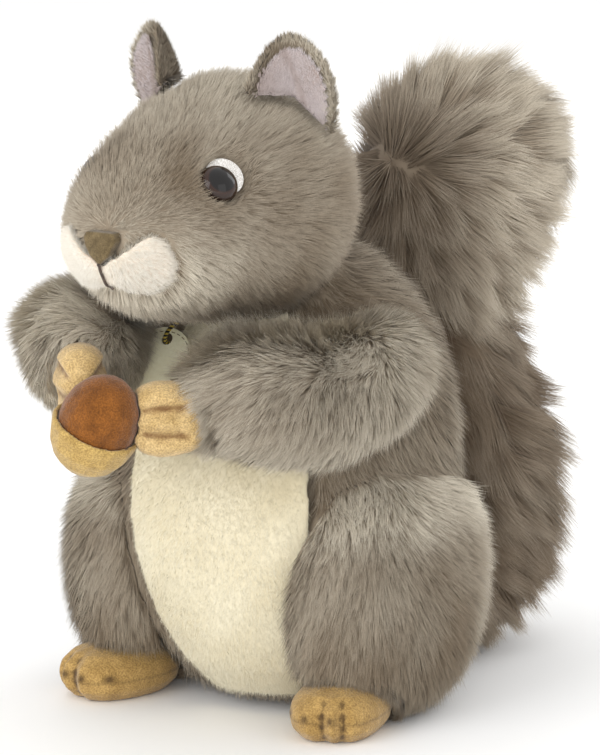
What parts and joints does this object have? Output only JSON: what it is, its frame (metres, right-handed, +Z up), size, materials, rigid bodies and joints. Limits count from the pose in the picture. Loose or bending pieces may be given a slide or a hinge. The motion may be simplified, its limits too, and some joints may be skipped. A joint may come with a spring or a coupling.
{
  "type": "plush squirrel",
  "caption": "Sitting plush squirrel holding a plush acorn in its front paws, with a cream belly panel, a bushy tail up its back and a small hang tag at its neck.",
  "frame": {"origin": "middle of the flat seat under the body, on the surface that the toy sits on", "axes": "+Z up, -Y the way the squirrel faces, +X to its own left"},
  "size_m": [0.1366, 0.2407, 0.2156],
  "materials": {
    "grey_plush": "frosted grey-brown plush, pile 8 to 10 mm, shorter on the face",
    "tail_plush": "long-pile plush, 25 to 40 mm, in pointed locks",
    "cream_plush": "short cream plush",
    "white_plush": "short off-white plush",
    "nose_suede": "olive-brown suede cloth",
    "ear_lining": "very short lilac-grey plush",
    "tan_velour": "tan velour with stitched fingers and toes",
    "rust_velour": "rust-brown velour",
    "eye_plastic": "glossy black with a dark-brown iris",
    "washer_plastic": "plain moulded",
    "white_felt": "thin white felt",
    "tag_card": "cream-yellow card, bare",
    "gold_cord": "gold and black twisted cord"
  },
  "bodies": {
    "root": {"head": "grey_plush", "nose": "nose_suede", "muzzle": "white_plush", "eye_left": "eye_plastic", "eye_white_left": "white_felt", "eye_washer_left": "washer_plastic", "eye_right": "eye_plastic", "eye_white_right": "white_felt", "eye_washer_right": "washer_plastic", "ear_left": "grey_plush", "ear_lining_left": "ear_lining", "ear_right": "grey_plush", "ear_lining_right": "ear_lining", "body": "grey_plush", "belly_panel": "cream_plush", "hang_tag": "tag_card", "tag_loop": "gold_cord", "acorn_nut": "rust_velour", "acorn_cup": "tan_velour", "hand_left": "tan_velour", "hand_right": "tan_velour", "arm_left": "grey_plush", "arm_right": "grey_plush", "foot_left": "tan_velour", "foot_right": "tan_velour", "thigh_left": "grey_plush", "thigh_right": "grey_plush", "tail": "tail_plush"}
  },
  "joints": []
}
